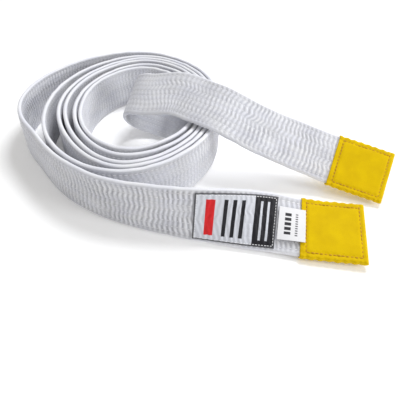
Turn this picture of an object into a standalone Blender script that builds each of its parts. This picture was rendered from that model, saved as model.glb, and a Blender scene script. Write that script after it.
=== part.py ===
"""Martial arts belt lying loosely coiled, with its two yellow tips, woven label and size tag.

The belt is one long ribbon.  It starts at the labelled tip, leans back along the front, stands on
its edge round five and a half turns, flips into a small inner loop and leaves over the coil's rim
towards the free tip.  Every sub-part follows the same centre line: a section is given by v, the
distance across the width, and o, the distance out from the middle of the thickness.
Metres, +Z up, the belt rests on z = 0.
"""
import math

import bpy
import numpy as np
from mathutils import Matrix

MM = 0.001

# Driving dimensions, in millimetres
BELT_WIDTH = 38.0
BELT_THICKNESS = 3.0
COVER_WALL = 0.5
PLY_THICKNESS = 0.5
PLY_MARGIN = 0.9
GAP = 0.3
ROW_COUNT = 8
ROW_SPACING = 4.3
THREAD_WIDTH = 0.6
THREAD_HEIGHT = 0.35
TIP_LENGTH = 41.0
TIP_WALL = 0.5
TIP_LIFT = 2.3
SEAM_INSET = 3.4
SEAM_GAP = 0.5
LABEL_START = 57.0
LABEL_LENGTH = 53.0
LABEL_WIDTH = 33.0
LABEL_THICKNESS = 0.5
TAG_WIDTH = 21.0
TAG_THICKNESS = 0.4
TAG_OVERHANG = 3.0
TAG_GAP = 0.7
HINGE_GAP = 1.0

# The lower strip, from the labelled tip: x and y of its lower outer edge, and its lean from the floor
STRIP = (
    (104.5, -118.8, 22), (85.0, -115.8, 22), (65.4, -112.7, 25), (47.2, -109.0, 37),
    (30.1, -105.4, 52), (12.5, -101.5, 65), (-4.2, -97.6, 74), (-21.0, -93.1, 80),
    (-36.7, -88.3, 84), (-52.5, -82.4, 88), (-68.3, -75.1, 90), (-81.3, -67.4, 90),
    (-92.5, -59.4, 90), (-110.3, -41.5, 90), (-125.6, -22.0, 90), (-136.6, -8.0, 90),
)
# The coil: outer radius of each turn at eight angles, from the left side and clockwise from above
COIL_CENTRE = (-50.7, 18.1)
TURN_ANGLES = (180, 135, 90, 45, 0, -45, -90, -135)
TURNS = (
    (96.3, 101.3, 101.1, 82.7, 71.6, 78.4, 89.6, 78.9),
    (72.9, 80.4, 91.6, 78.0, 67.0, 74.1, 84.5, 66.5),
    (62.8, 71.0, 86.6, 73.7, 62.8, 70.0, 80.2, 61.5),
    (57.8, 66.3, 81.5, 69.3, 58.6, 65.5, 72.0, 55.2),
    (49.4, 56.7, 72.5, 64.1, 54.4, 59.7, 65.2, 50.9),
    (44.6, 52.4, 65.5, 58.0),
)
# From the coil to the inner loop: x, y and z of the lower edge, and the lean of the width
INNER = (
    (-4.2, 45.8, 0.0, 90), (-3.8, 34.1, 0.0, 89), (-5.8, 24.6, 0.2, 86), (-11.3, 16.6, 0.6, 80),
    (-18.3, 13.3, 1.2, 68), (-24.8, 14.0, 2.0, 53), (-31.3, 16.2, 2.9, 41),
)
# The inner loop turns about its own axis, which rises away from the front
LOOP_AXIS = (0.287, 0.788, 0.545)
LOOP_LEFT = (-0.940, 0.342, 0.0)
LOOP_CENTRE = (-35.5, 23.5, 30.55)
LOOP_RADIUS = 19.5
LOOP_ANGLES = (-90, -60, -30, 0, 30, 60, 90)
# The upper strip: x, y and z of its lower edge, and the lean of the width
TOP = (
    (-21.0, -8.9, 42.0, 33), (-6.5, -17.4, 41.4, 32), (7.8, -26.1, 40.6, 31),
    (20.9, -32.5, 37.4, 31), (33.9, -36.9, 32.3, 33), (47.8, -40.5, 26.4, 35),
    (70.1, -45.3, 18.0, 37), (94.7, -51.5, 9.7, 38), (114.7, -58.2, 5.6, 37),
    (134.2, -65.9, 2.6, 36),
)
# Spacing of the cross sections: on the coil by compass angle, elsewhere by length, bend and twist
SAMPLES = 6000
COIL_STEP = 18
LENGTH_STEP = 18.0
BEND_STEP = math.radians(15.0)
TWIST_STEP = math.radians(4.0)
TIP_STATIONS = 7


def unit(vector):
    vector = np.asarray(vector, float)
    return vector / np.linalg.norm(vector)


def leaning(direction, lean):
    """A unit width vector: its compass direction and its lean from the floor, in degrees."""
    d = math.radians(direction)
    r = math.radians(lean)
    return np.array((math.cos(d) * math.cos(r), math.sin(d) * math.cos(r), math.sin(r)))


def strip_controls():
    edge = np.array([(x, y, 0.0) for x, y, lean in STRIP])
    for i, (x, y, lean) in enumerate(STRIP):
        along = unit(edge[min(i + 1, len(edge) - 1)] - edge[max(i - 1, 0)])
        inward = math.degrees(math.atan2(-along[0], along[1]))
        width = leaning(inward, lean)
        outward = np.cross(width, along)
        centre = edge[i] + width * BELT_WIDTH / 2 - outward * BELT_THICKNESS / 2
        tilt = math.radians(lean)
        rest = BELT_WIDTH / 2 * math.sin(tilt) + BELT_THICKNESS / 2 * math.cos(tilt)
        centre[2] = rest + TIP_LIFT * max(0.0, 1.0 - i / 4.0)
        yield centre, width


def coil_controls():
    for row in TURNS:
        for angle, radius in zip(TURN_ANGLES, row):
            a = math.radians(angle)
            r = radius - BELT_THICKNESS / 2
            x = COIL_CENTRE[0] + r * math.cos(a)
            y = COIL_CENTRE[1] + r * math.sin(a)
            yield np.array((x, y, BELT_WIDTH / 2)), np.array((0.0, 0.0, 1.0))


def edge_controls(rows, side):
    """Centres and widths from the lower edge; the width leans to the left (1) or right (-1) of travel."""
    edge = np.array([row[:3] for row in rows])
    for i, (x, y, z, lean) in enumerate(rows):
        along = edge[min(i + 1, len(edge) - 1)] - edge[max(i - 1, 0)]
        heading = math.degrees(math.atan2(along[1], along[0]))
        width = leaning(heading + 90.0 * side, lean)
        yield edge[i] + width * BELT_WIDTH / 2, width


def loop_controls():
    axis = unit(LOOP_AXIS)
    left = unit(LOOP_LEFT)
    up = np.cross(axis, left)
    for angle in LOOP_ANGLES:
        a = math.radians(angle)
        spoke = math.cos(a) * left + math.sin(a) * up
        yield np.array(LOOP_CENTRE) + LOOP_RADIUS * spoke, axis


def smooth_curve(knots, values, places):
    """Natural cubic spline through the values at the knots, read at the places."""
    n = len(knots)
    h = np.diff(knots)
    system = np.zeros((n, n))
    right = np.zeros((n, values.shape[1]))
    system[0, 0] = system[-1, -1] = 1.0
    for i in range(1, n - 1):
        system[i, i - 1] = h[i - 1]
        system[i, i] = 2 * (h[i - 1] + h[i])
        system[i, i + 1] = h[i]
        right[i] = 6 * ((values[i + 1] - values[i]) / h[i] - (values[i] - values[i - 1]) / h[i - 1])
    bend = np.linalg.solve(system, right)
    i = np.clip(np.searchsorted(knots, places, side="right") - 1, 0, n - 2)
    a = ((knots[i + 1] - places) / h[i])[:, None]
    b = 1 - a
    step = (h[i] ** 2)[:, None] / 6
    return a * values[i] + b * values[i + 1] + ((a ** 3 - a) * bend[i] + (b ** 3 - b) * bend[i + 1]) * step


class CentreLine:
    """The belt's centre line with its width and outward directions, read by arc length."""

    def __init__(self):
        controls = [*strip_controls(), *coil_controls(), *edge_controls(INNER, -1),
                    *loop_controls(), *edge_controls(TOP, 1)]
        points = np.array([point for point, width in controls])
        widths = np.array([width for point, width in controls])
        knots = np.concatenate(([0.0], np.cumsum(np.linalg.norm(np.diff(points, axis=0), axis=1))))
        places = np.linspace(0.0, knots[-1], SAMPLES)
        self.point = smooth_curve(knots, points, places)
        self.width = smooth_curve(knots, widths, places)
        steps = np.linalg.norm(np.diff(self.point, axis=0), axis=1)
        self.arc = np.concatenate(([0.0], np.cumsum(steps)))
        self.length = self.arc[-1]
        self.effort = self.bend_and_twist(steps)
        first_ring = len(STRIP)
        last_ring = first_ring + sum(len(row) for row in TURNS) - 1
        self.coil_start = np.interp(knots[first_ring - 3], places, self.arc)
        self.coil_end = np.interp(knots[last_ring], places, self.arc)

    def bend_and_twist(self, steps):
        """A running count of the sections needed, from the length, the bend and the twist so far."""
        along = np.diff(self.point, axis=0) / steps[:, None]
        width = self.width[:-1] / np.linalg.norm(self.width[:-1], axis=1)[:, None]
        outward = np.cross(width, along)
        bend = np.linalg.norm(np.diff(along, axis=0), axis=1)
        twist = np.abs(np.sum(np.diff(width, axis=0) * outward[:-1], axis=1))
        need = steps[:-1] / LENGTH_STEP + bend / BEND_STEP + twist / TWIST_STEP
        return np.concatenate(([0.0], np.cumsum(need), [np.sum(need)]))

    def frame(self, s):
        """Centre, width direction and outward direction at arc length s."""
        ahead = self.read(self.point, s + 0.5) - self.read(self.point, s - 0.5)
        along = unit(ahead)
        width = self.read(self.width, s)
        width = unit(width - along * np.dot(along, width))
        return self.read(self.point, s), width, np.cross(width, along)

    def read(self, table, s):
        inside = min(max(s, 0.0), self.length)
        value = np.array([np.interp(inside, self.arc, table[:, k]) for k in range(3)])
        if s != inside and table is self.point:
            end = 0 if s < 0 else len(table) - 2
            value = value + unit(table[end + 1] - table[end]) * (s - inside)
        return value


def free_stations(line, start, end):
    """Stations between two places, closer together where the belt bends or twists."""
    first, last = np.interp((start, end), line.arc, line.effort)
    count = max(1, math.ceil(last - first))
    return list(np.interp(np.linspace(first, last, count + 1), line.effort, line.arc))


def tip_stations(mouth, end):
    return list(np.linspace(mouth, end, TIP_STATIONS))


def coil_stations(line):
    """Stations at the same compass angles on every turn, so that neighbouring turns stay parallel."""
    inside = (line.arc >= line.coil_start) & (line.arc <= line.coil_end)
    x = line.point[inside, 0] - COIL_CENTRE[0]
    y = line.point[inside, 1] - COIL_CENTRE[1]
    swept = -np.degrees(np.unwrap(np.arctan2(y, x)))
    first = math.ceil(swept[0] / COIL_STEP + 0.3)
    last = math.floor(swept[-1] / COIL_STEP - 0.3)
    return [float(np.interp(k * COIL_STEP, swept, line.arc[inside])) for k in range(first, last + 1)]


def belt_stations(line, start, end):
    """Stations of the whole belt, cut to the stretch from start to end."""
    far = line.length - TIP_LENGTH
    everywhere = [
        *reversed(tip_stations(TIP_LENGTH, 0.0)),
        *free_stations(line, TIP_LENGTH, line.coil_start)[1:],
        *coil_stations(line),
        *free_stations(line, line.coil_end, far)[:-1],
        *tip_stations(far, line.length),
    ]
    return [start, *(s for s in everywhere if start + 2.0 < s < end - 2.0), end]


def place(frame, v, o):
    centre, width, outward = frame
    return (centre + width * v + outward * o) * MM


def low_diagonal(a, b):
    """Whether the diagonal that climbs with v stays under the outer face between two frames."""
    return float(np.dot(b[1] - a[1], a[2] + b[2])) < 0.0


def band(rows, frames, faces):
    """Triangles between consecutive closed loops of points; the diagonals follow the belt's twist."""
    count = len(rows[0])
    for i in range(len(rows) - 1):
        climbing = low_diagonal(frames[i], frames[i + 1])
        for k in range(count):
            a, b = rows[i][k], rows[i][(k + 1) % count]
            c, d = rows[i + 1][(k + 1) % count], rows[i + 1][k]
            # the loop runs up the outer side and down the inner side
            rising = k < count / 2
            if climbing == rising:
                faces.extend(((a, b, c), (a, c, d)))
            else:
                faces.extend(((a, b, d), (b, c, d)))


def loops(section, frames, points):
    """One loop of point numbers at each frame for the section's (v, o) corners."""
    rows = []
    for frame in frames:
        rows.append(list(range(len(points), len(points) + len(section))))
        points.extend(place(frame, v, o) for v, o in section)
    return rows


def rectangle(half_width, low, high):
    """Section corners, up the outer side at o = high and back down the inner side at o = low."""
    return ((-half_width, high), (half_width, high), (half_width, low), (-half_width, low))


def solid_strip(name, line, stations, section, finish):
    """A closed strip of constant section with flat ends."""
    frames = [line.frame(s) for s in stations]
    points = []
    faces = []
    rows = loops(section, frames, points)
    band(rows, frames, faces)
    faces.append(tuple(reversed(rows[0])))
    faces.append(tuple(rows[-1]))
    return make_object(name, points, faces, finish)


def open_sleeve(name, line, stations, outer, inner, finish):
    """A tube of cloth, open at both ends."""
    frames = [line.frame(s) for s in stations]
    points = []
    faces = []
    outside = loops(outer, frames, points)
    band(outside, frames, faces)
    inside = loops(inner, frames, points)
    lining = []
    band(inside, frames, lining)
    faces.extend(tuple(reversed(face)) for face in lining)
    for k in range(4):
        n = (k + 1) % 4
        faces.append((outside[0][n], outside[0][k], inside[0][k], inside[0][n]))
        faces.append((outside[-1][k], outside[-1][n], inside[-1][n], inside[-1][k]))
    return make_object(name, points, faces, finish)


def capped_sleeve(name, line, stations, outer, inner, finish):
    """A tube of cloth, open at its first station and closed by a wall at its last."""
    frames = [line.frame(s) for s in stations]
    towards_end = 1.0 if stations[-1] > stations[0] else -1.0
    inner_frames = [*frames[:-1], line.frame(stations[-1] - towards_end * TIP_WALL)]
    points = []
    shell = []
    lining = []
    outside = loops(outer, frames, points)
    band(outside, frames, shell)
    inside = loops(inner, inner_frames, points)
    band(inside, inner_frames, lining)
    faces = [*shell, *(tuple(reversed(face)) for face in lining)]
    faces.append(tuple(outside[-1]))
    faces.append(tuple(reversed(inside[-1])))
    for k in range(4):
        n = (k + 1) % 4
        faces.append((outside[0][n], outside[0][k], inside[0][k], inside[0][n]))
    if towards_end < 0:
        faces = [tuple(reversed(face)) for face in faces]
    return make_object(name, points, faces, finish)


def panel(name, line, s_values, v_values, low, high, finish, hollow=False):
    """A flat piece on the outer face, from o = low to o = high; a hollow one is only its border."""
    points = []
    number = {}
    for i, s in enumerate(s_values):
        frame = line.frame(s)
        for j, v in enumerate(v_values):
            for level, o in enumerate((low, high)):
                number[i, j, level] = len(points)
                points.append(place(frame, v, o))
    last_i = len(s_values) - 2
    last_j = len(v_values) - 2
    cells = {(i, j) for i in range(last_i + 1) for j in range(last_j + 1)}
    if hollow:
        cells -= {(i, j) for i, j in cells if 0 < i < last_i and 0 < j < last_j}
    faces = []
    for i, j in cells:
        corners = ((i, j), (i, j + 1), (i + 1, j + 1), (i + 1, j))
        neighbours = ((i - 1, j), (i, j + 1), (i + 1, j), (i, j - 1))
        top = [number[a, b, 1] for a, b in corners]
        bottom = [number[a, b, 0] for a, b in corners]
        faces.append(tuple(top))
        faces.append(tuple(reversed(bottom)))
        for k, neighbour in enumerate(neighbours):
            if neighbour not in cells:
                n = (k + 1) % 4
                faces.append((top[n], top[k], bottom[k], bottom[n]))
    return make_object(name, points, faces, finish)


def make_finish(name, colour, roughness):
    material = bpy.data.materials.new(name)
    material.use_nodes = True
    shader = material.node_tree.nodes["Principled BSDF"]
    shader.inputs["Base Color"].default_value = (*colour, 1.0)
    shader.inputs["Roughness"].default_value = roughness
    shader.inputs["Metallic"].default_value = 0.0
    return material


def make_object(name, points, faces, finish):
    mesh = bpy.data.meshes.new(name)
    mesh.from_pydata([tuple(point) for point in points], [], faces)
    mesh.validate()
    mesh.materials.append(finish)
    thing = bpy.data.objects.new(name, mesh)
    bpy.context.collection.objects.link(thing)
    return thing


def build_body(line, cloth, lining):
    start = TIP_WALL + GAP
    stations = belt_stations(line, start, line.length - start)
    half = BELT_THICKNESS / 2
    outer = rectangle(BELT_WIDTH / 2, -half, half)
    inner = rectangle(BELT_WIDTH / 2 - COVER_WALL, COVER_WALL - half, half - COVER_WALL)
    open_sleeve("belt_cover", line, stations, outer, inner, cloth)
    ply_stations = [stations[0] + GAP, *stations[1:-1], stations[-1] - GAP]
    for name, side in (("core_ply_outer", 1), ("core_ply_inner", -1)):
        near = side * GAP / 2
        far = side * (GAP / 2 + PLY_THICKNESS)
        section = rectangle(BELT_WIDTH / 2 - PLY_MARGIN, min(near, far), max(near, far))
        solid_strip(name, line, ply_stations, section, lining)


def build_stitch_rows(line, thread):
    start = TIP_LENGTH + GAP
    stations = belt_stations(line, start, line.length - start)
    low = BELT_THICKNESS / 2 + GAP
    for number in range(ROW_COUNT):
        v = (number - (ROW_COUNT - 1) / 2) * ROW_SPACING
        half = THREAD_WIDTH / 2
        section = ((v - half, low), (v, low + THREAD_HEIGHT), (v + half, low))
        solid_strip(f"stitch_row_{number + 1}", line, stations, section, thread)


def build_tip(line, name, mouth, end, cloth, thread):
    clear = BELT_THICKNESS / 2 + GAP
    side = BELT_WIDTH / 2 + GAP
    stations = tip_stations(mouth, end)
    outer = rectangle(side + TIP_WALL, -clear - TIP_WALL, clear + TIP_WALL)
    inner = rectangle(side, -clear, clear)
    capped_sleeve(f"tip_sleeve_{name}", line, stations, outer, inner, cloth)
    low, high = sorted((mouth, end))
    first = low + SEAM_INSET
    last = high - SEAM_INSET
    s_values = [first, first + THREAD_WIDTH, *np.linspace(first, last, 5)[1:-1], last - THREAD_WIDTH, last]
    edge = side + TIP_WALL - SEAM_INSET
    v_values = (-edge, THREAD_WIDTH - edge, edge - THREAD_WIDTH, edge)
    base = clear + TIP_WALL + SEAM_GAP
    top = base + THREAD_HEIGHT
    panel(f"tip_seam_{name}_outer", line, s_values, v_values, base, top, thread, hollow=True)
    panel(f"tip_seam_{name}_inner", line, s_values, v_values, -top, -base, thread, hollow=True)


def build_label(line, label, thread):
    low = BELT_THICKNESS / 2 + GAP + THREAD_HEIGHT + GAP
    high = low + LABEL_THICKNESS
    end = LABEL_START + LABEL_LENGTH
    half = LABEL_WIDTH / 2
    s_values = np.linspace(LABEL_START, end, 9)
    panel("woven_label", line, s_values, np.linspace(-half, half, 5), low, high, label)
    edge = half - 0.8
    seam_s = [LABEL_START + 0.8, LABEL_START + 0.8 + THREAD_WIDTH, *s_values[1:-1],
              end - 0.8 - THREAD_WIDTH, end - 0.8]
    seam_v = (-edge, THREAD_WIDTH - edge, edge - THREAD_WIDTH, edge)
    panel("label_seam", line, seam_s, seam_v, high + GAP, high + GAP + THREAD_HEIGHT, thread, hollow=True)


def build_size_tag(line, paper):
    """The tag hangs on its sewn edge beside the label; its origin is on that edge."""
    low = BELT_THICKNESS / 2 + GAP + TIP_WALL + TAG_GAP
    hinge = LABEL_START - HINGE_GAP
    free = TIP_LENGTH - TAG_OVERHANG
    half = TAG_WIDTH / 2
    s_values = np.linspace(free, hinge, 4)
    tag = panel("size_tag", line, s_values, (-half, half), low, low + TAG_THICKNESS, paper)
    origin = place(line.frame(hinge), 0.0, low)
    tag.data.transform(Matrix.Translation(-origin))
    tag.location = origin


def build():
    for thing in list(bpy.data.objects):
        bpy.data.objects.remove(thing)
    white = make_finish("white_cotton", (0.83, 0.83, 0.86), 0.85)
    canvas = make_finish("core_canvas", (0.78, 0.76, 0.70), 0.9)
    thread = make_finish("white_thread", (0.88, 0.88, 0.90), 0.6)
    yellow = make_finish("yellow_twill", (0.82, 0.55, 0.01), 0.7)
    orange = make_finish("yellow_thread", (0.70, 0.42, 0.01), 0.6)
    woven = make_finish("woven_label", (0.62, 0.64, 0.70), 0.6)
    satin = make_finish("tag_satin", (0.88, 0.88, 0.88), 0.45)
    line = CentreLine()
    print("belt length", round(line.length, 1), "mm")
    build_body(line, white, canvas)
    build_stitch_rows(line, thread)
    build_tip(line, "label_end", TIP_LENGTH, 0.0, yellow, orange)
    build_tip(line, "free_end", line.length - TIP_LENGTH, line.length, yellow, orange)
    build_label(line, woven, thread)
    build_size_tag(line, satin)


build()
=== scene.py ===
"""Looks of a coiled martial arts belt: quilted white cotton, yellow tips, woven label, size tag.

Every piece is laid along the belt's own centre line, which repeats the route of the CAD.
A place on the belt is s, the distance from the labelled end, v, the distance across the width,
and o, the distance out from the middle of the thickness. Lengths are in millimetres until
Route.place(), which gives metres.
"""
import math

import bpy
import numpy as np
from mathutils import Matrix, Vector

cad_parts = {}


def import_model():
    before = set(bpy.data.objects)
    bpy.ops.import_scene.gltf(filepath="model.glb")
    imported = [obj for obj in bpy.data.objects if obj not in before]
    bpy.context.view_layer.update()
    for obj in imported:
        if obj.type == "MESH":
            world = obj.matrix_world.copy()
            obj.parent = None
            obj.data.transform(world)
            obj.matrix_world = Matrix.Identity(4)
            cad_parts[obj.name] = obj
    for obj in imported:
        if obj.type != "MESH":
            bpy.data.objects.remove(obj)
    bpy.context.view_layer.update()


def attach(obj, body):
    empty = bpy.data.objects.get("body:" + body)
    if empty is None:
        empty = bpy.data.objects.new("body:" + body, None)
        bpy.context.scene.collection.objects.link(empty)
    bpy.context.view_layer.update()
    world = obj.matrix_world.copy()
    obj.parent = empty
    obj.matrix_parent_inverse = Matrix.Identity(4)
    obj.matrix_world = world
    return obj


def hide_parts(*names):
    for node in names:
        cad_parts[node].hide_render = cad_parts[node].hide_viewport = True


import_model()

MM = 0.001
BELT_WIDTH = 38.0
BELT_THICKNESS = 3.0
RIM_RADIUS = 1.3
ROW_COUNT = 8
ROW_SPACING = 4.3
TIP_LENGTH = 41.0
LABEL_START = 57.0
LABEL_LENGTH = 53.0
LABEL_WIDTH = 33.0
TAG_WIDTH = 21.0
TAG_START = 38.0
TAG_HINGE = 56.0
TAG_LEVEL = 3.1

# The route, as in the CAD: the lower strip's edge (x, y, lean), the coil's turns, the inner loop
STRIP = (
    (104.5, -118.8, 22), (85.0, -115.8, 22), (65.4, -112.7, 25), (47.2, -109.0, 37),
    (30.1, -105.4, 52), (12.5, -101.5, 65), (-4.2, -97.6, 74), (-21.0, -93.1, 80),
    (-36.7, -88.3, 84), (-52.5, -82.4, 88), (-68.3, -75.1, 90), (-81.3, -67.4, 90),
    (-92.5, -59.4, 90), (-110.3, -41.5, 90), (-125.6, -22.0, 90), (-136.6, -8.0, 90),
)
TIP_LIFT = 2.3
COIL_CENTRE = (-50.7, 18.1)
TURN_ANGLES = (180, 135, 90, 45, 0, -45, -90, -135)
TURNS = (
    (96.3, 101.3, 101.1, 82.7, 71.6, 78.4, 89.6, 78.9),
    (72.9, 80.4, 91.6, 78.0, 67.0, 74.1, 84.5, 66.5),
    (62.8, 71.0, 86.6, 73.7, 62.8, 70.0, 80.2, 61.5),
    (57.8, 66.3, 81.5, 69.3, 58.6, 65.5, 72.0, 55.2),
    (49.4, 56.7, 72.5, 64.1, 54.4, 59.7, 65.2, 50.9),
    (44.6, 52.4, 65.5, 58.0),
)
INNER = (
    (-4.2, 45.8, 0.0, 90), (-3.8, 34.1, 0.0, 89), (-5.8, 24.6, 0.2, 86), (-11.3, 16.6, 0.6, 80),
    (-18.3, 13.3, 1.2, 68), (-24.8, 14.0, 2.0, 53), (-31.3, 16.2, 2.9, 41),
)
LOOP_AXIS = (0.287, 0.788, 0.545)
LOOP_LEFT = (-0.940, 0.342, 0.0)
LOOP_CENTRE = (-35.5, 23.5, 30.55)
LOOP_RADIUS = 19.5
LOOP_ANGLES = (-90, -60, -30, 0, 30, 60, 90)
TOP = (
    (-21.0, -8.9, 42.0, 33), (-6.5, -17.4, 41.4, 32), (7.8, -26.1, 40.6, 31),
    (20.9, -32.5, 37.4, 31), (33.9, -36.9, 32.3, 33), (47.8, -40.5, 26.4, 35),
    (70.1, -45.3, 18.0, 37), (94.7, -51.5, 9.7, 38), (114.7, -58.2, 5.6, 37),
    (134.2, -65.9, 2.6, 36),
)
SAMPLES = 12000

# Puckers of the quilted cloth
PUCKER_PITCH = 3.5
PILLOW_HEIGHT = 0.22
PUCKER_HEIGHT = 0.9
FINE_STEP = 0.65
COARSE_STEP = 1.3
# Level that the rims get in the painted shade of the grooves, high enough that the rims stay
# unshaded
RIM_SHADE_LEVEL = 0.55
OUTSIDE_TURN = 760.0
INNER_LOOP = 2600.0

# Where the puckers change, as (s, length): after() rises from s on, before() falls to 0 at s
COIL_STARTS = (270, 120)
COIL_ENDS = (2900, 110)
FOLD_STARTS = (2640, 60)
FOLD_ENDS = (2830, 60)
TAG_ENDS = (58, 20)
COIL_SHARE = 0.5
FOLD_SHARE = 0.3
TAG_SHARE = 0.4
UNEVEN_SHARE = 0.18

# Random waves of the cloth: length along it, width across it, and height
SHORT_DRIFT = (15, 6.5, 0.34)
LONG_DRIFT = (50, 15, 0.6)
ZIGZAG = 0.26
LUMP = (14, 9, 0.16)
SHOULDER = 1.6
UNDER_TIP_SHARE = 0.25
RIM_WAVE = (7, 10, 0.22)

# Sheets and threads
CORE_STEP = 3.0
CORE_INSET = 1.6
LABEL_REST = 2.25
LABEL_THICKNESS = 0.45
TAG_CLOTH_THICKNESS = 0.3
END_GAP = 0.3
SEAM_INSET = 1.3

# Stitches: length, width and height of the thread that shows
QUILTING_STITCH = (2.5, 0.45, 0.16)

# The same after the spacing, for seams that run round a rectangle
TIP_STITCH = (2.6, 2.2, 0.75, 0.36)
LABEL_STITCH = (1.9, 1.5, 0.42, 0.22)

# The label's plain fields: distances along it from LABEL_START, and half their reach across it
RED_BAND = (40.0, 46.0)
STRIPES = (21.0, 26.5, 32.0)
STRIPE_LENGTH = 2.6
BLACK_END = 15.0
BARS = (5.0, 9.5)
BAR_LENGTH = 1.6
FIELD_HALF = 12.5
BORDER = 0.8

# The tag's rows of bars: low s, high s, half their reach, pitch, bar
TAG_LARGE_BARS = (47.6, 51.8, 7.0, 3.0, 2.0)
TAG_SMALL_BARS = (43.2, 44.8, 7.4, 1.5, 0.9)

# Points across a face, and round a rim with both of its ends
BELT_ACROSS = 46
BELT_ROUND = 7
TIP_ACROSS = 41
TIP_ROUND = 9

# The camera and the ground
CAMERA_PLACE = (-0.0033, -0.2654, 0.2053)
CAMERA_PITCH = 37.4
CAMERA_LENS = 35.37
CAMERA_SHIFT = (0.0225, -0.13)
FLOOR_REACH = 4.0
FLOOR_LEVEL = -0.0006
FLOOR_GLOW = 0.1
WORLD_COLOUR = (1.0, 0.985, 0.96, 1.0)
WORLD_STRENGTH = 0.52


def unit(vector):
    vector = np.asarray(vector, float)
    return vector / np.linalg.norm(vector, axis=-1, keepdims=True)


def leaning(direction, lean):
    d = math.radians(direction)
    r = math.radians(lean)
    return np.array((math.cos(d) * math.cos(r), math.sin(d) * math.cos(r), math.sin(r)))


def strip_controls():
    edge = np.array([(x, y, 0.0) for x, y, lean in STRIP])
    for i, (x, y, lean) in enumerate(STRIP):
        along = unit(edge[min(i + 1, len(edge) - 1)] - edge[max(i - 1, 0)])
        width = leaning(math.degrees(math.atan2(-along[0], along[1])), lean)
        outward = np.cross(width, along)
        centre = edge[i] + width * BELT_WIDTH / 2 - outward * BELT_THICKNESS / 2
        tilt = math.radians(lean)
        rest = BELT_WIDTH / 2 * math.sin(tilt) + BELT_THICKNESS / 2 * math.cos(tilt)
        centre[2] = rest + TIP_LIFT * max(0.0, 1.0 - i / 4.0)
        yield centre, width


def coil_controls():
    for row in TURNS:
        for angle, radius in zip(TURN_ANGLES, row):
            a = math.radians(angle)
            r = radius - BELT_THICKNESS / 2
            x = COIL_CENTRE[0] + r * math.cos(a)
            y = COIL_CENTRE[1] + r * math.sin(a)
            yield np.array((x, y, BELT_WIDTH / 2)), np.array((0.0, 0.0, 1.0))


def edge_controls(rows, side):
    edge = np.array([row[:3] for row in rows])
    for i, (*_, lean) in enumerate(rows):
        along = edge[min(i + 1, len(edge) - 1)] - edge[max(i - 1, 0)]
        heading = math.degrees(math.atan2(along[1], along[0]))
        width = leaning(heading + 90.0 * side, lean)
        yield edge[i] + width * BELT_WIDTH / 2, width


def loop_controls():
    axis = unit(LOOP_AXIS)
    left = unit(LOOP_LEFT)
    up = np.cross(axis, left)
    for angle in LOOP_ANGLES:
        a = math.radians(angle)
        yield np.array(LOOP_CENTRE) + LOOP_RADIUS * (math.cos(a) * left + math.sin(a) * up), axis


def smooth_curve(knots, values, places):
    """Natural cubic spline through the values at the knots, read at the places."""
    n = len(knots)
    h = np.diff(knots)
    system = np.zeros((n, n))
    right = np.zeros((n, values.shape[1]))
    system[0, 0] = system[-1, -1] = 1.0
    for i in range(1, n - 1):
        system[i, i - 1] = h[i - 1]
        system[i, i] = 2 * (h[i - 1] + h[i])
        system[i, i + 1] = h[i]
        right[i] = 6 * ((values[i + 1] - values[i]) / h[i] - (values[i] - values[i - 1]) / h[i - 1])
    bend = np.linalg.solve(system, right)
    i = np.clip(np.searchsorted(knots, places, side="right") - 1, 0, n - 2)
    a = ((knots[i + 1] - places) / h[i])[:, None]
    b = 1 - a
    step = (h[i] ** 2)[:, None] / 6
    curve = ((a ** 3 - a) * bend[i] + (b ** 3 - b) * bend[i + 1]) * step
    return a * values[i] + b * values[i + 1] + curve


class Route:
    """The belt's centre line, read by arc length."""

    def __init__(self):
        controls = [*strip_controls(), *coil_controls(), *edge_controls(INNER, -1),
                    *loop_controls(), *edge_controls(TOP, 1)]
        points = np.array([point for point, width in controls])
        widths = np.array([width for point, width in controls])
        knots = np.concatenate(([0.0], np.cumsum(np.linalg.norm(np.diff(points, axis=0), axis=1))))
        places = np.linspace(0.0, knots[-1], SAMPLES)
        self.point = smooth_curve(knots, points, places)
        self.along = unit(np.gradient(self.point, axis=0))
        self.width = smooth_curve(knots, widths, places)
        steps = np.linalg.norm(np.diff(self.point, axis=0), axis=1)
        self.arc = np.concatenate(([0.0], np.cumsum(steps)))
        self.length = float(self.arc[-1])

    def read(self, s):
        """Centre, width direction and outward direction at each arc length in s."""
        s = np.asarray(s, float)
        inside = np.clip(s, 0.0, self.length)
        columns = [
            np.stack([np.interp(inside, self.arc, table[:, k]) for k in range(3)], axis=-1)
            for table in (self.point, self.along, self.width)
        ]
        centre, along, width = columns
        along = unit(along)
        centre = centre + along * (s - inside)[..., None]
        width = unit(width - along * np.sum(width * along, axis=-1, keepdims=True))
        return centre, width, np.cross(width, along)

    def place(self, s, v, o):
        """Points in metres at arrays of s, v and o."""
        centre, width, outward = self.read(s)
        return (centre + width * np.asarray(v)[..., None] + outward * np.asarray(o)[..., None]) * MM


ROUTE = Route()


def smoothstep(x):
    x = np.clip(x, 0.0, 1.0)
    return x * x * (3 - 2 * x)


def after(s, change):
    """Rises from 0 at the change's s to 1 a length past it."""
    return smoothstep((s - change[0]) / change[1])


def before(s, change):
    """Falls from 1 a length ahead of the change's s to 0 at it."""
    return smoothstep((change[0] - s) / change[1])


def soft_noise(s, v, step_s, step_v, seed):
    """Smooth random heights of about -1 to 1, with bumps about step_s long and step_v wide."""
    rng = np.random.default_rng(seed)
    i = np.asarray(s, float) / step_s + 8
    j = np.asarray(v, float) / step_v + 40
    table = rng.uniform(-1, 1, (int(np.max(i)) + 3, 80))
    i0 = np.floor(i).astype(int)
    j0 = np.floor(j).astype(int)
    a = smoothstep(i - i0)
    b = smoothstep(j - j0)
    near = table[i0, j0] * (1 - b) + table[i0, j0 + 1] * b
    far = table[i0 + 1, j0] * (1 - b) + table[i0 + 1, j0 + 1] * b
    return near * (1 - a) + far * a


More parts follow.
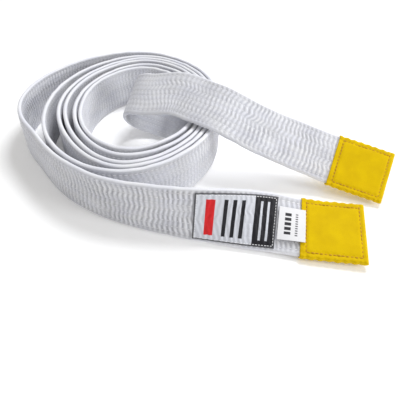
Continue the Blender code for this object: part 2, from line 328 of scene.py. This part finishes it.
def strength(s):
    """How strongly the cloth puckers: most on the two strips, least where it is pulled round."""
    round_coil = after(s, COIL_STARTS) * before(s, COIL_ENDS)
    beside_tag = 1.0 - after(s, TAG_ENDS)
    at_fold = after(s, FOLD_STARTS) * before(s, FOLD_ENDS)
    uneven = UNEVEN_SHARE * soft_noise(s, s * 0, 37, 1, 5)
    calm = 1.0 - COIL_SHARE * round_coil - FOLD_SHARE * at_fold - TAG_SHARE * beside_tag
    return calm + uneven


def pucker_phase(s, v, side):
    """Cycles of the cross ridges, which zig-zag from one stitch row to the next."""
    u = v / ROW_SPACING + (ROW_COUNT - 1) / 2
    zigzag = np.abs((u % 2.0) - 1.0)
    short = soft_noise(s, v, *SHORT_DRIFT[:2], 11 + side) * SHORT_DRIFT[2]
    drift = short + soft_noise(s, v, *LONG_DRIFT[:2], 21 + side) * LONG_DRIFT[2]
    return s / PUCKER_PITCH + ZIGZAG * zigzag + drift


def quilting(s, v, side):
    """Height of one face above the band's flat face."""
    u = v / ROW_SPACING + (ROW_COUNT - 1) / 2
    last = ROW_COUNT - 1
    inside = (u >= 0) & (u <= last)
    beyond = smoothstep(np.maximum(-u, u - last) / 0.45)
    pillow = np.where(inside, np.abs(np.sin(math.pi * u)) ** 0.7, beyond)
    rim = smoothstep((BELT_WIDTH / 2 - RIM_RADIUS - np.abs(v)) / SHOULDER)
    ridge = np.cos(2 * math.pi * pucker_phase(s, v, side))
    sharp = np.sign(ridge) * np.abs(ridge) ** 0.8
    size = strength(s) * (0.78 + 0.42 * soft_noise(s, v, 9, 4.5, 31 + side))
    pull = 0.55 + 0.45 * pillow
    lump = LUMP[2] * soft_noise(s, v, *LUMP[:2], 41 + side)
    return rim * (PILLOW_HEIGHT * (pillow - 0.7) + PUCKER_HEIGHT / 2 * size * sharp * pull + lump)


def section_places():
    """Places round the section: v, o, and side, 1 on the outer face, -1 inner and 0 on a rim."""
    half = BELT_WIDTH / 2
    thick = BELT_THICKNESS / 2
    flat = half - RIM_RADIUS
    across = np.linspace(-flat, flat, BELT_ACROSS)
    turn = np.radians(np.linspace(90, -90, BELT_ROUND)[1:-1])
    rim_v = flat + RIM_RADIUS * np.cos(turn)
    rim_o = thick * np.sin(turn)
    v = np.concatenate((across, rim_v, across[::-1], -rim_v[::-1]))
    o = np.concatenate((across * 0 + thick, rim_o, across * 0 - thick, -rim_o))
    side = np.concatenate((across * 0 + 1, rim_o * 0, across * 0 - 1, rim_o * 0))
    return v, o, side


def new_object(name, points, faces, finish):
    mesh = bpy.data.meshes.new(name)
    mesh.from_pydata(points.tolist(), [], faces)
    mesh.validate()
    mesh.materials.append(finish)
    mesh.shade_smooth()
    thing = bpy.data.objects.new(name, mesh)
    bpy.context.collection.objects.link(thing)
    return thing


def add_vector(thing, name, values):
    layer = thing.data.attributes.new(name, "FLOAT_VECTOR", "POINT")
    layer.data.foreach_set("vector", np.asarray(values, np.float32).ravel())


def add_colour(thing, name, values):
    layer = thing.data.attributes.new(name, "FLOAT_COLOR", "POINT")
    rgba = np.concatenate((values, np.ones((len(values), 1))), axis=1)
    layer.data.foreach_set("color", rgba.astype(np.float32).ravel())


def tube_faces(rings, count):
    """Quads between consecutive rings of points, with flat ends."""
    i = np.arange(rings - 1)[:, None] * count
    k = np.arange(count)[None, :]
    n = (k + 1) % count
    faces = np.stack((i + k, i + n, i + count + n, i + count + k), axis=-1).reshape(-1, 4).tolist()
    faces.append(list(range(count))[::-1])
    faces.append(list(range((rings - 1) * count, rings * count)))
    return faces


def band(name, stations, v, o, finish):
    """A closed tube of points at every station; v and o are arrays of stations by places."""
    s = np.repeat(stations[:, None], v.shape[1], axis=1)
    points = ROUTE.place(s, v, o).reshape(-1, 3)
    thing = new_object(name, points, tube_faces(len(stations), v.shape[1]), finish)
    return thing, s


def belt_places():
    """Stations along the belt, close together where the faces show and wider inside the coil."""
    start = 1.0
    end = ROUTE.length - 1.0
    return np.concatenate((
        np.arange(start, OUTSIDE_TURN, FINE_STEP),
        np.arange(OUTSIDE_TURN, INNER_LOOP, COARSE_STEP),
        np.arange(INNER_LOOP, end, FINE_STEP),
    ))


def make_belt(finish):
    v, o, side = section_places()
    stations = belt_places()
    s = np.repeat(stations[:, None], len(v), axis=1)
    v = np.repeat(v[None, :], len(stations), axis=0)
    outer = quilting(s, v, 0)
    inner = quilting(s, v, 1)
    start_tip = smoothstep((s - TIP_LENGTH + 3) / 5)
    end_tip = smoothstep((ROUTE.length - TIP_LENGTH + 3 - s) / 5)
    lift = np.where(side > 0, outer, np.where(side < 0, -inner, 0.0))
    lift = lift * (UNDER_TIP_SHARE + (1 - UNDER_TIP_SHARE) * (start_tip * end_tip))
    edge = RIM_WAVE[2] * soft_noise(s, np.sign(v) * 20, *RIM_WAVE[:2], 61) * (side == 0)
    thing, s = band("belt_cloth", stations, v + np.sign(v) * edge, o + lift, finish)
    # The third cloth value is the face's height, which the white cotton turns into painted shade in
    # the grooves; the rims get a fixed level that leaves them unshaded
    height = np.where(side == 0, RIM_SHADE_LEVEL, lift * side)
    add_vector(thing, "cloth", np.stack((s, v, height), axis=-1).reshape(-1, 3))
    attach(thing, "belt")
    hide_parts("belt_cover")


def make_core(finish):
    stations = np.arange(2.0, ROUTE.length - 2.0, CORE_STEP)
    half = BELT_WIDTH / 2 - CORE_INSET
    for name, side in (("outer", 1), ("inner", -1)):
        low = side * 0.15
        high = side * 0.55
        v = np.array((-half, -half / 3, half / 3, half, half, half / 3, -half / 3, -half))
        o = np.array((max(low, high),) * 4 + (min(low, high),) * 4)
        shape = (len(stations), 1)
        v = np.tile(v, shape)
        thing, s = band(f"core_canvas_{name}", stations, v, np.tile(o, shape), finish)
        add_vector(thing, "cloth", np.stack((s, v, s * 0), axis=-1).reshape(-1, 3))
        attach(thing, "belt")
        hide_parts(f"core_ply_{name}")


STITCH_SHAPE = ((-0.5, 0.0), (-0.30, 0.75), (0.0, 1.0), (0.30, 0.75), (0.5, 0.0))


def stitches(places, directions, length, width, height, level):
    """Short raised threads on a face: places are (s, v), directions are unit (ds, dv)."""
    along = np.array((-0.5, -0.36, 0.0, 0.36, 0.5)) * length
    taper = np.array((0.25, 0.85, 1.0, 0.85, 0.25))
    rise = np.array((-0.6, 0.6, 1.0, 0.6, -0.6))
    shape = np.array(STITCH_SHAPE)
    places = np.asarray(places)
    directions = np.asarray(directions)
    side = np.stack((-directions[:, 1], directions[:, 0]), axis=-1)
    off = shape[:, 0] * width
    st = places[:, None, None, :] + directions[:, None, None, :] * along[None, :, None, None]
    st = st + side[:, None, None, :] * (off[None, None, :] * taper[None, :, None])[..., None]
    raised = shape[:, 1][None, :] * np.maximum(rise, 0.0)[:, None]
    lift = height * (raised + np.minimum(rise, 0.0)[:, None])
    sign = 1.0 if level(places[:1, 0], places[:1, 1])[0] > 0 else -1.0
    base = level(places[:, 0], places[:, 1])
    o = base[:, None, None] + sign * lift[None]
    points = ROUTE.place(st[..., 0], st[..., 1], o).reshape(-1, 3)
    block = len(along) * len(shape)
    faces = []
    for i in range(len(along) - 1):
        for k in range(len(shape)):
            n = (k + 1) % len(shape)
            a = i * len(shape)
            b = a + len(shape)
            faces.append((a + k, b + k, b + n, a + n) if sign > 0 else (a + k, a + n, b + n, b + k))
    first = tuple(range(len(shape)))
    last = tuple(range(block - len(shape), block))
    faces.append(first if sign > 0 else first[::-1])
    faces.append(last[::-1] if sign > 0 else last)
    return points, faces, block


def stitch_object(name, runs, finish):
    """One object from several runs of stitches."""
    points = []
    faces = []
    for places, directions, length, width, height, level in runs:
        new, pattern, block = stitches(places, directions, length, width, height, level)
        start = sum(len(p) for p in points)
        count = len(new) // block
        for c in range(count):
            base = start + c * block
            faces.extend(tuple(base + k for k in face) for face in pattern)
        points.append(new)
    thing = new_object(name, np.concatenate(points), faces, finish)
    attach(thing, "belt")
    return thing


def make_quilting_threads(finish):
    half = BELT_THICKNESS / 2
    for row in range(ROW_COUNT):
        v = (row - (ROW_COUNT - 1) / 2) * ROW_SPACING
        runs = []
        for side, sign in ((0, 1.0), (1, -1.0)):
            s = np.arange(TIP_LENGTH + 2, ROUTE.length - TIP_LENGTH - 2, PUCKER_PITCH)
            s = s + 0.5 * soft_noise(s, s * 0, 17, 1, 71 + row)
            label_end = LABEL_START + LABEL_LENGTH
            under_label = (s > LABEL_START - 2) & (s < label_end + 1) & (side == 0)
            s = s[~under_label]
            drift = 0.12 * soft_noise(s, s * 0, 11, 1, 81 + row)
            places = np.stack((s, v + drift), axis=-1)
            directions = np.tile((1.0, 0.0), (len(s), 1))

            def level(at_s, at_v, side=side, sign=sign):
                return sign * (half + quilting(at_s, at_v, side) + 0.02)
            runs.append((places, directions, *QUILTING_STITCH, level))
        thing = stitch_object(f"quilting_thread_{row + 1}", runs, finish)
        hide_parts(f"stitch_row_{row + 1}")


def rectangle_run(low_s, high_s, half_v, pitch, length, width, height, level):
    """Stitches along the four sides of a rectangle on one face."""
    places = []
    directions = []
    for v in (-half_v, half_v):
        for s in np.arange(low_s + pitch / 2, high_s, pitch):
            places.append((s, v))
            directions.append((1.0, 0.0))
    for s in (low_s, high_s):
        for v in np.arange(-half_v + pitch / 2, half_v, pitch):
            places.append((s, v))
            directions.append((0.0, 1.0))
    return np.array(places), np.array(directions), length, width, height, level


class Tip:
    """A yellow sleeve: x runs in from the belt's end, 0 there and TIP_LENGTH at the mouth."""

    HALF = 19.9
    THICK = 2.45
    SEAM = 3.6
    ROUND = 1.9
    GROOVE = (0.42, 0.8)
    PUCKER = (0.16, 3.1, 2.4)
    PINCH = (0.28, 5.2)
    RING_STEP = 0.6
    LINING_STEP = 3.0

    def __init__(self, name, at_start, seed):
        self.name = name
        self.at_start = at_start
        self.seed = seed

    def s_of(self, x):
        return x - END_GAP if self.at_start else ROUTE.length - x + END_GAP

    def half_width(self, x):
        """The sleeve is slightly pinched at each stitch and full at its corners."""
        depth, pitch = self.PINCH
        wave = depth * np.cos(2 * math.pi * x / pitch + self.seed)
        wave = wave + 0.2 * soft_noise(x, x * 0, 6, 1, self.seed)
        return self.HALF + wave * smoothstep((x - 3) / 4)

    def crown(self, x, v, side):
        """Height of the sleeve's face, pulled down along its seam and fuller beside it."""
        inset = self.half_width(x) - np.abs(v)
        to_seam = np.minimum(np.abs(inset - self.SEAM), np.abs(x - self.SEAM))
        to_seam = np.minimum(to_seam, np.abs(TIP_LENGTH - x - self.SEAM))
        inner = (inset > self.SEAM) & (x > self.SEAM) & (x < TIP_LENGTH - self.SEAM)
        depth, spread = self.GROOVE
        groove = depth * np.exp(-(to_seam / spread) ** 2)
        depth, pitch, spread = self.PUCKER
        pucker = depth * np.cos(2 * math.pi * (x + v) / pitch + self.seed)
        pucker = pucker * np.exp(-(to_seam / spread) ** 2)
        rows = 0.012 * np.cos(2 * math.pi * v / ROW_SPACING) * inner
        sag = 0.20 * soft_noise(x, v, 12, 9, self.seed + 3 + side)
        return self.THICK + 0.12 * inner + rows - groove + pucker + sag

    def ring(self, x, taper, lining):
        """The section at x: v and o round the sleeve. taper is 1, and smaller at the round end."""
        half = self.half_width(np.array([x]))[0] - 0.5 * lining
        edge = self.ROUND * 0.8
        across = np.linspace(-1, 1, TIP_ACROSS) * (half - edge)
        turn = np.radians(np.linspace(90, -90, TIP_ROUND)[1:-1])
        places = np.full(TIP_ACROSS, x)
        top = (self.crown(places, across, 0) - 0.5 * lining) * taper
        low = (self.crown(places, across, 1) - 0.5 * lining) * taper
        rim_v = half - edge + edge * np.cos(turn)
        right_o = np.where(turn > 0, top[-1], low[-1]) * np.sin(turn)
        left_o = np.where(turn > 0, top[0], low[0]) * np.sin(turn)
        v = np.concatenate((across, rim_v, across[::-1], -rim_v[::-1]))
        o = np.concatenate((top, right_o, -low[::-1], left_o[::-1]))
        return v, o

    def make(self, finish):
        radius = self.ROUND
        turn = np.radians(np.linspace(0, 84, 7))
        rings = [(radius - radius * math.sin(a), max(0.10, math.cos(a)), 0.0) for a in turn[::-1]]
        rings += [(x, 1.0, 0.0) for x in np.arange(radius + self.RING_STEP, TIP_LENGTH - 0.1,
                                                self.RING_STEP)]
        rings += [(TIP_LENGTH, 0.99, 0.0), (TIP_LENGTH + 0.12, 0.93, 0.2), (TIP_LENGTH, 0.90, 1.0)]
        rings += [(x, 0.97, 1.0) for x in np.arange(TIP_LENGTH - 1.5, radius + 1.5,
                                                    -self.LINING_STEP)]
        points = []
        for x, taper, lining in rings:
            v, o = self.ring(x, taper, lining)
            squeeze = 1.0 - 0.03 * (1 - taper) if not lining else 1.0
            points.append(ROUTE.place(np.full(len(v), self.s_of(x)), v * squeeze, o))
        faces = tube_faces(len(rings), len(v))
        if not self.at_start:
            faces = [face[::-1] for face in faces]
        thing = new_object(f"tip_cover_{self.name}", np.concatenate(points), faces, finish)
        cloth = [
            np.stack((np.full(len(v), x), self.ring(x, taper, lining)[0], v * 0), axis=-1)
            for x, taper, lining in rings
        ]
        add_vector(thing, "cloth", np.concatenate(cloth))
        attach(thing, "belt")
        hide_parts(f"tip_sleeve_{self.name}")

    def make_seams(self, finish):
        for side, label in ((0, "outer"), (1, "inner")):
            sign = 1.0 if side == 0 else -1.0

            def level(s, v, side=side, sign=sign):
                x = s + END_GAP if self.at_start else ROUTE.length - s + END_GAP
                return sign * (self.crown(x, v, side) + 0.08)
            ends = sorted((self.s_of(self.SEAM), self.s_of(TIP_LENGTH - self.SEAM)))
            run = rectangle_run(ends[0], ends[1], self.HALF - self.SEAM, *TIP_STITCH, level)
            thing = stitch_object(f"tip_thread_{self.name}_{label}", [run], finish)
            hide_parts(f"tip_seam_{self.name}_{label}")


def sheet_grid(name, s_values, v_values, level, thickness, finish):
    """A thin closed sheet on the outer face, following level(s, v)."""
    s, v = np.meshgrid(s_values, v_values, indexing="ij")
    base = level(s, v)
    rows, columns = s.shape
    top = ROUTE.place(s, v, base + thickness / 2).reshape(-1, 3)
    low = ROUTE.place(s, v, base - thickness / 2).reshape(-1, 3)
    number = np.arange(rows * columns).reshape(rows, columns)
    a = number[:-1, :-1].ravel()
    b = number[:-1, 1:].ravel()
    c = number[1:, 1:].ravel()
    d = number[1:, :-1].ravel()
    shift = rows * columns
    faces = np.stack((a, b, c, d), axis=-1).tolist()
    faces += (np.stack((d, c, b, a), axis=-1) + shift).tolist()
    border = [*number[0, :], *number[1:, -1], *number[-1, -2::-1], *number[-2:0:-1, 0]]
    for i, here in enumerate(border):
        there = border[(i + 1) % len(border)]
        faces.append((int(there), int(here), int(here) + shift, int(there) + shift))
    thing = new_object(name, np.concatenate((top, low)), faces, finish)
    place = np.stack((s, v, s * 0 + 1), axis=-1).reshape(-1, 3)
    add_vector(thing, "cloth", np.concatenate((place, place)))
    return thing, s.ravel(), v.ravel()


def label_level(s, v):
    """The label lies over the quilting and is drawn down a little by its border stitches."""
    edge = LABEL_WIDTH / 2 - np.abs(v)
    end = np.minimum(s - LABEL_START, LABEL_START + LABEL_LENGTH - s)
    inset = np.minimum(edge, end)
    puckers = 0.5 * quilting(s, v, 0)
    wave = 0.14 * np.cos(2 * math.pi * (s + 0.5 * np.abs(v)) / 6.5) * np.exp(-inset / 2.5)
    return LABEL_REST + puckers + wave - 0.25 * np.exp(-inset / 0.9)


def inside_box(x, y, x0, x1, y0, y1):
    return (x > x0) & (x < x1) & (y > y0) & (y < y1)


def row_of_bars(s, v, low_s, high_s, half, pitch, bar):
    return inside_box(s, v, low_s, high_s, -half, half) & (((v + half) % pitch) < bar)


def label_art(s, v):
    """Plain generic fields: a red band, three even black stripes, and a black end with bars."""
    x = s - LABEL_START
    white = np.array((0.68, 0.70, 0.76))
    red = np.array((0.72, 0.012, 0.016))
    black = np.array((0.012, 0.012, 0.016))
    grey = np.array((0.10, 0.10, 0.11))
    art = np.tile(white, (len(x), 1))
    art[inside_box(x, v, *RED_BAND, -FIELD_HALF, FIELD_HALF)] = red
    for start in STRIPES:
        art[inside_box(x, v, start, start + STRIPE_LENGTH, -FIELD_HALF, FIELD_HALF)] = black
    art[x < BLACK_END] = black
    for start in BARS:
        art[inside_box(x, v, start, start + BAR_LENGTH, -FIELD_HALF, FIELD_HALF)] = white
    margin = np.minimum(LABEL_WIDTH / 2 - np.abs(v), np.minimum(x, LABEL_LENGTH - x))
    art[margin < BORDER] = grey
    return art


def make_label(finish, thread_finish):
    s_values = np.linspace(LABEL_START, LABEL_START + LABEL_LENGTH, 213)
    v_values = np.linspace(-LABEL_WIDTH / 2, LABEL_WIDTH / 2, 133)
    label, s, v = sheet_grid("label_cloth", s_values, v_values, label_level, LABEL_THICKNESS,
                               finish)
    art = label_art(s, v)
    add_colour(label, "art", np.concatenate((art, art * 0.3 + 0.5)))
    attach(label, "belt")
    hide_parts("woven_label")

    def level(at_s, at_v):
        return label_level(at_s, at_v) + 0.28
    low_s = LABEL_START + SEAM_INSET
    high_s = LABEL_START + LABEL_LENGTH - SEAM_INSET
    run = rectangle_run(low_s, high_s, LABEL_WIDTH / 2 - SEAM_INSET, *LABEL_STITCH, level)
    thread = stitch_object("label_thread", [run], thread_finish)
    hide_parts("label_seam")


def tag_level(s, v):
    """The tag leaves its sewn edge, curls up a little and comes down over the yellow tip."""
    t = (TAG_HINGE - s) / (TAG_HINGE - TAG_START)
    return TAG_LEVEL + 0.45 * np.sin(math.pi * t) + 0.35 * t * t + 0.06 * np.cos(v / 2.1) * t


def tag_art(s, v):
    """Plain dark bars in place of the printed size."""
    white = np.array((0.84, 0.84, 0.86))
    ink = np.array((0.03, 0.03, 0.035))
    art = np.tile(white, (len(s), 1))
    art[row_of_bars(s, v, *TAG_LARGE_BARS)] = ink
    art[row_of_bars(s, v, *TAG_SMALL_BARS)] = ink * 3
    return art


def make_tag(finish):
    s_values = np.linspace(TAG_START, TAG_HINGE, 65)
    v_values = np.linspace(-TAG_WIDTH / 2, TAG_WIDTH / 2, 85)
    tag, s, v = sheet_grid("size_tag_cloth", s_values, v_values, tag_level, TAG_CLOTH_THICKNESS,
                           finish)
    art = tag_art(s, v)
    add_colour(tag, "art", np.concatenate((art, art * 0 + 0.8)))
    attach(tag, "tag")
    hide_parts("size_tag")


class Finish:
    """A Principled material with small helpers for its texture nodes."""

    def __init__(self, name, colour, roughness, sheen=0.0):
        self.material = bpy.data.materials.new(name)
        self.material.use_nodes = True
        self.nodes = self.material.node_tree.nodes
        self.links = self.material.node_tree.links
        self.shader = self.nodes["Principled BSDF"]
        self.shader.inputs["Base Color"].default_value = (*colour, 1.0)
        self.shader.inputs["Roughness"].default_value = roughness
        self.shader.inputs["Sheen Weight"].default_value = sheen
        self.shader.inputs["Sheen Roughness"].default_value = 0.5
        self.shader.inputs["Specular IOR Level"].default_value = 0.25

    def node(self, kind, **values):
        node = self.nodes.new(kind)
        for key, value in values.items():
            setattr(node, key, value)
        return node

    def attribute(self, name):
        return self.node("ShaderNodeAttribute", attribute_name=name)

    def scaled(self, scale):
        """The piece's "cloth" coordinates (s, v and a third value), stretched."""
        mapping = self.node("ShaderNodeMapping")
        mapping.inputs["Scale"].default_value = scale
        self.links.new(self.attribute("cloth").outputs["Vector"], mapping.inputs["Vector"])
        return mapping.outputs["Vector"]

    def noise(self, vector, scale, detail=3.0):
        noise = self.node("ShaderNodeTexNoise")
        noise.inputs["Scale"].default_value = scale
        noise.inputs["Detail"].default_value = detail
        self.links.new(vector, noise.inputs["Vector"])
        return noise.outputs["Fac"]

    def ribs(self, vector, direction, scale, distortion):
        wave = self.node("ShaderNodeTexWave", bands_direction=direction)
        wave.inputs["Scale"].default_value = scale
        wave.inputs["Distortion"].default_value = distortion
        wave.inputs["Detail"].default_value = 1.0
        self.links.new(vector, wave.inputs["Vector"])
        return wave.outputs["Fac"]

    def ramp(self, factor, dark, light, low=0.3, high=0.7):
        ramp = self.node("ShaderNodeValToRGB")
        ramp.color_ramp.elements[0].position = low
        ramp.color_ramp.elements[0].color = (*dark, 1.0)
        ramp.color_ramp.elements[1].position = high
        ramp.color_ramp.elements[1].color = (*light, 1.0)
        self.links.new(factor, ramp.inputs["Fac"])
        return ramp.outputs["Color"]

    def mix(self, factor, a, b, blend="MIX"):
        mix = self.node("ShaderNodeMix", data_type="RGBA", blend_type=blend)
        if isinstance(factor, float):
            mix.inputs["Factor"].default_value = factor
        else:
            self.links.new(factor, mix.inputs["Factor"])
        self.links.new(a, mix.inputs[6])
        self.links.new(b, mix.inputs[7])
        return mix.outputs[2]

    def math(self, operation, a, b):
        node = self.node("ShaderNodeMath", operation=operation)
        for socket, value in zip(node.inputs, (a, b)):
            if isinstance(value, (int, float)):
                socket.default_value = value
            else:
                self.links.new(value, socket)
        return node.outputs["Value"]

    def colour(self, socket):
        self.links.new(socket, self.shader.inputs["Base Color"])

    def roughness(self, factor, low, high):
        spread = self.node("ShaderNodeMapRange")
        spread.inputs["To Min"].default_value = low
        spread.inputs["To Max"].default_value = high
        self.links.new(factor, spread.inputs["Value"])
        self.links.new(spread.outputs["Result"], self.shader.inputs["Roughness"])

    def bump(self, height, strength, distance):
        bump = self.node("ShaderNodeBump")
        bump.inputs["Strength"].default_value = strength
        bump.inputs["Distance"].default_value = distance
        self.links.new(height, bump.inputs["Height"])
        self.links.new(bump.outputs["Normal"], self.shader.inputs["Normal"])


def weave(finish, threads_s, threads_v):
    """Plain-weave height: crossed threads, a few per millimetre, with uneven yarn."""
    warp = finish.ribs(finish.scaled((1.0, 1.0, 1.0)), "X", threads_s, 0.6)
    weft = finish.ribs(finish.scaled((1.0, 1.0, 1.0)), "Y", threads_v, 0.6)
    cloth = finish.math("MULTIPLY", warp, weft)
    fuzz = finish.noise(finish.scaled((1.0, 1.0, 1.0)), 2.2, 4.0)
    return finish.math("ADD", cloth, finish.math("MULTIPLY", fuzz, 0.9)), fuzz


def white_cotton():
    finish = Finish("belt_white_cotton", (0.83, 0.83, 0.86), 0.88, 0.25)
    height, fuzz = weave(finish, 0.42, 0.42)
    patches = finish.noise(finish.scaled((0.02, 0.05, 0.3)), 3.0)
    tone = finish.ramp(patches, (0.74, 0.75, 0.815), (0.81, 0.815, 0.84))
    grain = finish.ramp(fuzz, (0.90, 0.90, 0.90), (1.0, 1.0, 1.0))
    # Painted shade: the third cloth value, the face's quilting height, darkens the low places
    # between the puckers down to 0.6 of the colour
    split = finish.node("ShaderNodeSeparateXYZ")
    finish.links.new(finish.attribute("cloth").outputs["Vector"], split.inputs["Vector"])
    hollow = finish.math("ADD", split.outputs["Z"], 0.5)
    shade = finish.ramp(hollow, (0.60, 0.60, 0.61), (1.0, 1.0, 1.0), 0.02, 0.85)
    finish.colour(finish.mix(1.0, finish.mix(0.6, tone, grain, "MULTIPLY"), shade, "MULTIPLY"))
    finish.roughness(fuzz, 0.80, 0.95)
    finish.bump(height, 0.35, 0.00025)
    return finish.material


def core_canvas():
    finish = Finish("core_canvas", (0.78, 0.76, 0.70), 0.92)
    height, fuzz = weave(finish, 0.3, 0.3)
    finish.colour(finish.ramp(fuzz, (0.70, 0.68, 0.60), (0.80, 0.78, 0.71)))
    finish.bump(height, 0.4, 0.0003)
    return finish.material


def twisted_thread(name, dark, light):
    finish = Finish(name, light, 0.6, 0.2)
    place = finish.node("ShaderNodeTexCoord").outputs["Object"]
    fibre = finish.noise(place, 2600.0, 2.0)
    finish.colour(finish.ramp(fibre, dark, light))
    finish.roughness(fibre, 0.5, 0.75)
    finish.bump(fibre, 0.3, 0.0001)
    return finish.material


def yellow_twill():
    finish = Finish("tip_yellow_twill", (0.82, 0.55, 0.01), 0.6)
    finish.shader.inputs["Specular IOR Level"].default_value = 0.08
    turned = finish.node("ShaderNodeMapping")
    turned.inputs["Rotation"].default_value = (0.0, 0.0, math.radians(58))
    finish.links.new(finish.attribute("cloth").outputs["Vector"], turned.inputs["Vector"])
    twill = finish.ribs(turned.outputs["Vector"], "X", 0.55, 0.4)
    yarn = finish.noise(finish.scaled((1.0, 1.0, 1.0)), 1.6, 4.0)
    broad = finish.noise(finish.scaled((0.08, 0.08, 0.3)), 1.0)
    tone = finish.ramp(broad, (0.66, 0.44, 0.0), (0.76, 0.53, 0.0))
    grain = finish.ramp(yarn, (0.90, 0.87, 0.80), (1.0, 1.0, 1.0))
    finish.colour(finish.mix(0.7, tone, grain, "MULTIPLY"))
    finish.roughness(yarn, 0.5, 0.7)
    finish.bump(finish.math("ADD", twill, finish.math("MULTIPLY", yarn, 0.6)), 0.3, 0.0002)
    return finish.material


def printed_cloth(name, roughness):
    """Fine woven satin whose colour is the piece's own art."""
    finish = Finish(name, (0.8, 0.8, 0.8), roughness, 0.1)
    weft = finish.ribs(finish.scaled((1.0, 1.0, 1.0)), "X", 0.8, 0.3)
    fuzz = finish.noise(finish.scaled((1.0, 1.0, 1.0)), 2.5, 3.0)
    grain = finish.ramp(weft, (0.86, 0.86, 0.86), (1.0, 1.0, 1.0), 0.2, 0.8)
    art = finish.attribute("art").outputs["Color"]
    finish.colour(finish.mix(0.8, art, grain, "MULTIPLY"))
    finish.roughness(fuzz, roughness - 0.1, roughness + 0.12)
    finish.bump(finish.math("ADD", weft, fuzz), 0.3, 0.00012)
    return finish.material


def make_floor():
    mesh = bpy.data.meshes.new("floor")
    signs = ((-1, -1), (1, -1), (1, 1), (-1, 1))
    corners = [(x * FLOOR_REACH, y * FLOOR_REACH, FLOOR_LEVEL) for x, y in signs]
    mesh.from_pydata(corners, [], [(0, 1, 2, 3)])
    floor = bpy.data.objects.new("floor", mesh)
    bpy.context.collection.objects.link(floor)
    finish = Finish("floor_paper", (0.97, 0.97, 0.97), 0.9)
    finish.shader.inputs["Emission Color"].default_value = (1.0, 1.0, 1.0, 1.0)
    finish.shader.inputs["Emission Strength"].default_value = FLOOR_GLOW
    mesh.materials.append(finish.material)


def make_area_light(name, place, target, size, power, colour):
    data = bpy.data.lights.new(name, "AREA")
    data.shape = "DISK"
    data.size = size
    data.energy = power
    data.color = colour
    lamp = bpy.data.objects.new(name, data)
    lamp.location = place
    lamp.rotation_euler = (Vector(target) - Vector(place)).to_track_quat("-Z", "Y").to_euler()
    bpy.context.collection.objects.link(lamp)


def make_light():
    world = bpy.data.worlds.new("studio")
    world.use_nodes = True
    background = world.node_tree.nodes["Background"]
    background.inputs["Color"].default_value = WORLD_COLOUR
    background.inputs["Strength"].default_value = WORLD_STRENGTH
    bpy.context.scene.world = world
    make_area_light("key", (0.30, 0.38, 0.98), (0, 0, 0), 0.45, 8.2, (0.96, 0.975, 1.0))
    make_area_light("side", (0.85, -0.42, 0.42), (0, -0.05, 0), 0.35, 4.2, (0.97, 0.98, 1.0))
    bpy.context.scene.view_settings.view_transform = "Standard"


def make_camera():
    data = bpy.data.cameras.new("camera")
    data.sensor_width = 36.0
    data.lens = CAMERA_LENS
    data.shift_x, data.shift_y = CAMERA_SHIFT
    data.clip_start = 0.01
    camera = bpy.data.objects.new("camera", data)
    camera.location = CAMERA_PLACE
    camera.rotation_euler = (math.radians(90 - CAMERA_PITCH), 0.0, 0.0)
    bpy.context.collection.objects.link(camera)
    bpy.context.scene.camera = camera


def make_tips():
    twill = yellow_twill()
    thread = twisted_thread("tip_yellow_thread", (0.42, 0.19, 0.002), (0.62, 0.31, 0.004))
    for tip in (Tip("label_end", True, 3), Tip("free_end", False, 8)):
        tip.make(twill)
        tip.make_seams(thread)


make_camera()
white_thread = twisted_thread("sewing_thread_white", (0.80, 0.80, 0.83), (0.92, 0.92, 0.93))
make_belt(white_cotton())
make_core(core_canvas())
make_quilting_threads(white_thread)
make_tips()
make_label(printed_cloth("label_satin", 0.55), white_thread)
make_tag(printed_cloth("tag_satin", 0.45))
make_floor()
make_light()
